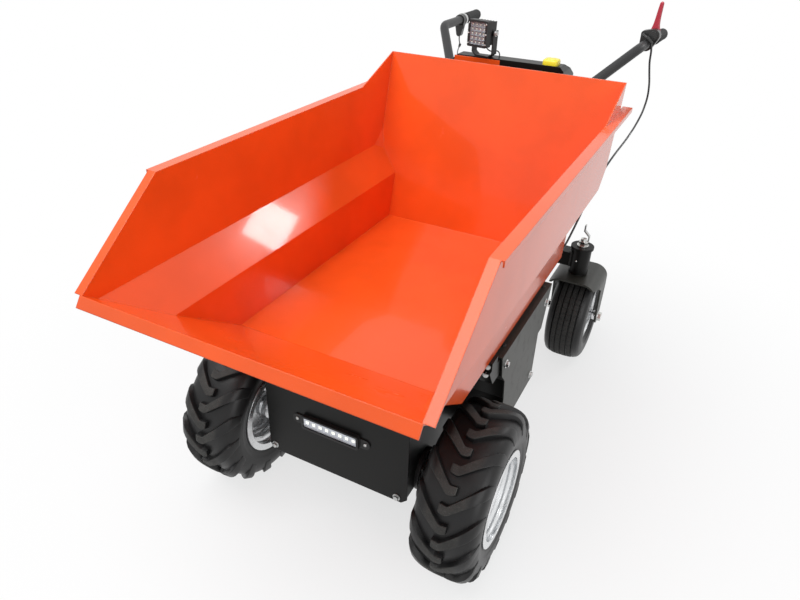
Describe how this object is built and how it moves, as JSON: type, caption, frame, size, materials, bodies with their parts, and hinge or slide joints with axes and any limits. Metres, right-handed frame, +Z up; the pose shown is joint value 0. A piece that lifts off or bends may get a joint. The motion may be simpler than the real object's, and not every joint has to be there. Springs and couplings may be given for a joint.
{
  "type": "site dumper",
  "caption": "Battery walk-behind dumper with a forward-tipping sheet-steel tub, lugged drive wheels in front, swivelling casters behind and handlebars with a console.",
  "frame": {"origin": "on the ground, below the middle of the overall length and width", "axes": "+Z up; the machine faces -Y and is pushed from its +Y end; +X is on the right as the machine is seen from the front, and node names say left and right as seen from there"},
  "size_m": [0.79, 1.8372, 1.1007],
  "materials": {
    "tub_paint": "gloss orange paint",
    "chassis_paint": "satin black powder coat",
    "fork_paint": "gloss black powder coat",
    "axle_paint": "matt black casting",
    "rim_zinc": "silver paint",
    "bare_steel": "zinc plated",
    "tyre_rubber": "moulded rubber",
    "grip_rubber": "soft matt",
    "battery_case": "matt",
    "lever_red": "red dipped vinyl",
    "switch_yellow": "gloss yellow",
    "control_plastic": "satin",
    "cable_sheath": "satin",
    "lamp_body": "satin black",
    "lamp_lens": "clear"
  },
  "bodies": {
    "chassis": {"axle_housing": "axle_paint", "battery_bay": "chassis_paint", "battery_pack": "battery_case", "brake_cable": "cable_sheath", "brake_lever": "lever_red", "brake_perch": "control_plastic", "caster_locks": "bare_steel", "console_box": "chassis_paint", "drive_bay": "chassis_paint", "drive_motor": "axle_paint", "front_cover": "chassis_paint", "grip_left": "grip_rubber", "grip_right": "grip_rubber", "handlebar_left": "chassis_paint", "handlebar_right": "chassis_paint", "hinge_pin": "bare_steel", "lamp_wire": "cable_sheath", "light_bar_housing": "lamp_body", "light_bar_lens": "lamp_lens", "pivot_brackets": "chassis_paint", "rear_arms": "chassis_paint", "rear_cross_tube": "chassis_paint", "side_cover_left": "chassis_paint", "side_cover_right": "chassis_paint", "stop_switch": "switch_yellow", "throttle_body": "control_plastic", "throttle_cable": "cable_sheath", "throttle_clamp": "bare_steel", "tub_rests": "chassis_paint", "uprights": "chassis_paint", "work_lamp_housing": "lamp_body", "work_lamp_lens": "lamp_lens", "work_lamp_yoke": "chassis_paint"},
    "tub": {"tub_shell": "tub_paint", "tub_ribs": "tub_paint"},
    "front_wheel_left": {"front_tyre_left": "tyre_rubber", "front_rim_left": "rim_zinc"},
    "caster_left": {"caster_fork_left": "fork_paint"},
    "caster_wheel_left": {"caster_tyre_left": "tyre_rubber", "caster_rim_left": "rim_zinc"},
    "front_wheel_right": {"front_tyre_right": "tyre_rubber", "front_rim_right": "rim_zinc"},
    "caster_right": {"caster_fork_right": "fork_paint"},
    "caster_wheel_right": {"caster_tyre_right": "tyre_rubber", "caster_rim_right": "rim_zinc"}
  },
  "joints": [
    {"name": "tub_tip", "type": "hinge", "parent": "chassis", "child": "tub", "pos_m": [0, -0.58225, 0.44], "axis": [1, 0, 0], "range_deg": [0, 70]},
    {"name": "front_wheel_left_spin", "type": "hinge", "parent": "chassis", "child": "front_wheel_left", "pos_m": [-0.311, -0.52225, 0.203], "axis": [1, 0, 0], "continuous": true},
    {"name": "caster_left_swivel", "type": "hinge", "parent": "chassis", "child": "caster_left", "pos_m": [-0.305, 0.33975, 0.345], "axis": [0, 0, 1], "continuous": true},
    {"name": "caster_wheel_left_spin", "type": "hinge", "parent": "caster_left", "child": "caster_wheel_left", "pos_m": [-0.305, 0.41975, 0.1605], "axis": [1, 0, 0], "continuous": true},
    {"name": "front_wheel_right_spin", "type": "hinge", "parent": "chassis", "child": "front_wheel_right", "pos_m": [0.311, -0.52225, 0.203], "axis": [1, 0, 0], "continuous": true},
    {"name": "caster_right_swivel", "type": "hinge", "parent": "chassis", "child": "caster_right", "pos_m": [0.305, 0.33975, 0.345], "axis": [0, 0, 1], "continuous": true},
    {"name": "caster_wheel_right_spin", "type": "hinge", "parent": "caster_right", "child": "caster_wheel_right", "pos_m": [0.305, 0.41975, 0.1605], "axis": [1, 0, 0], "continuous": true}
  ]
}
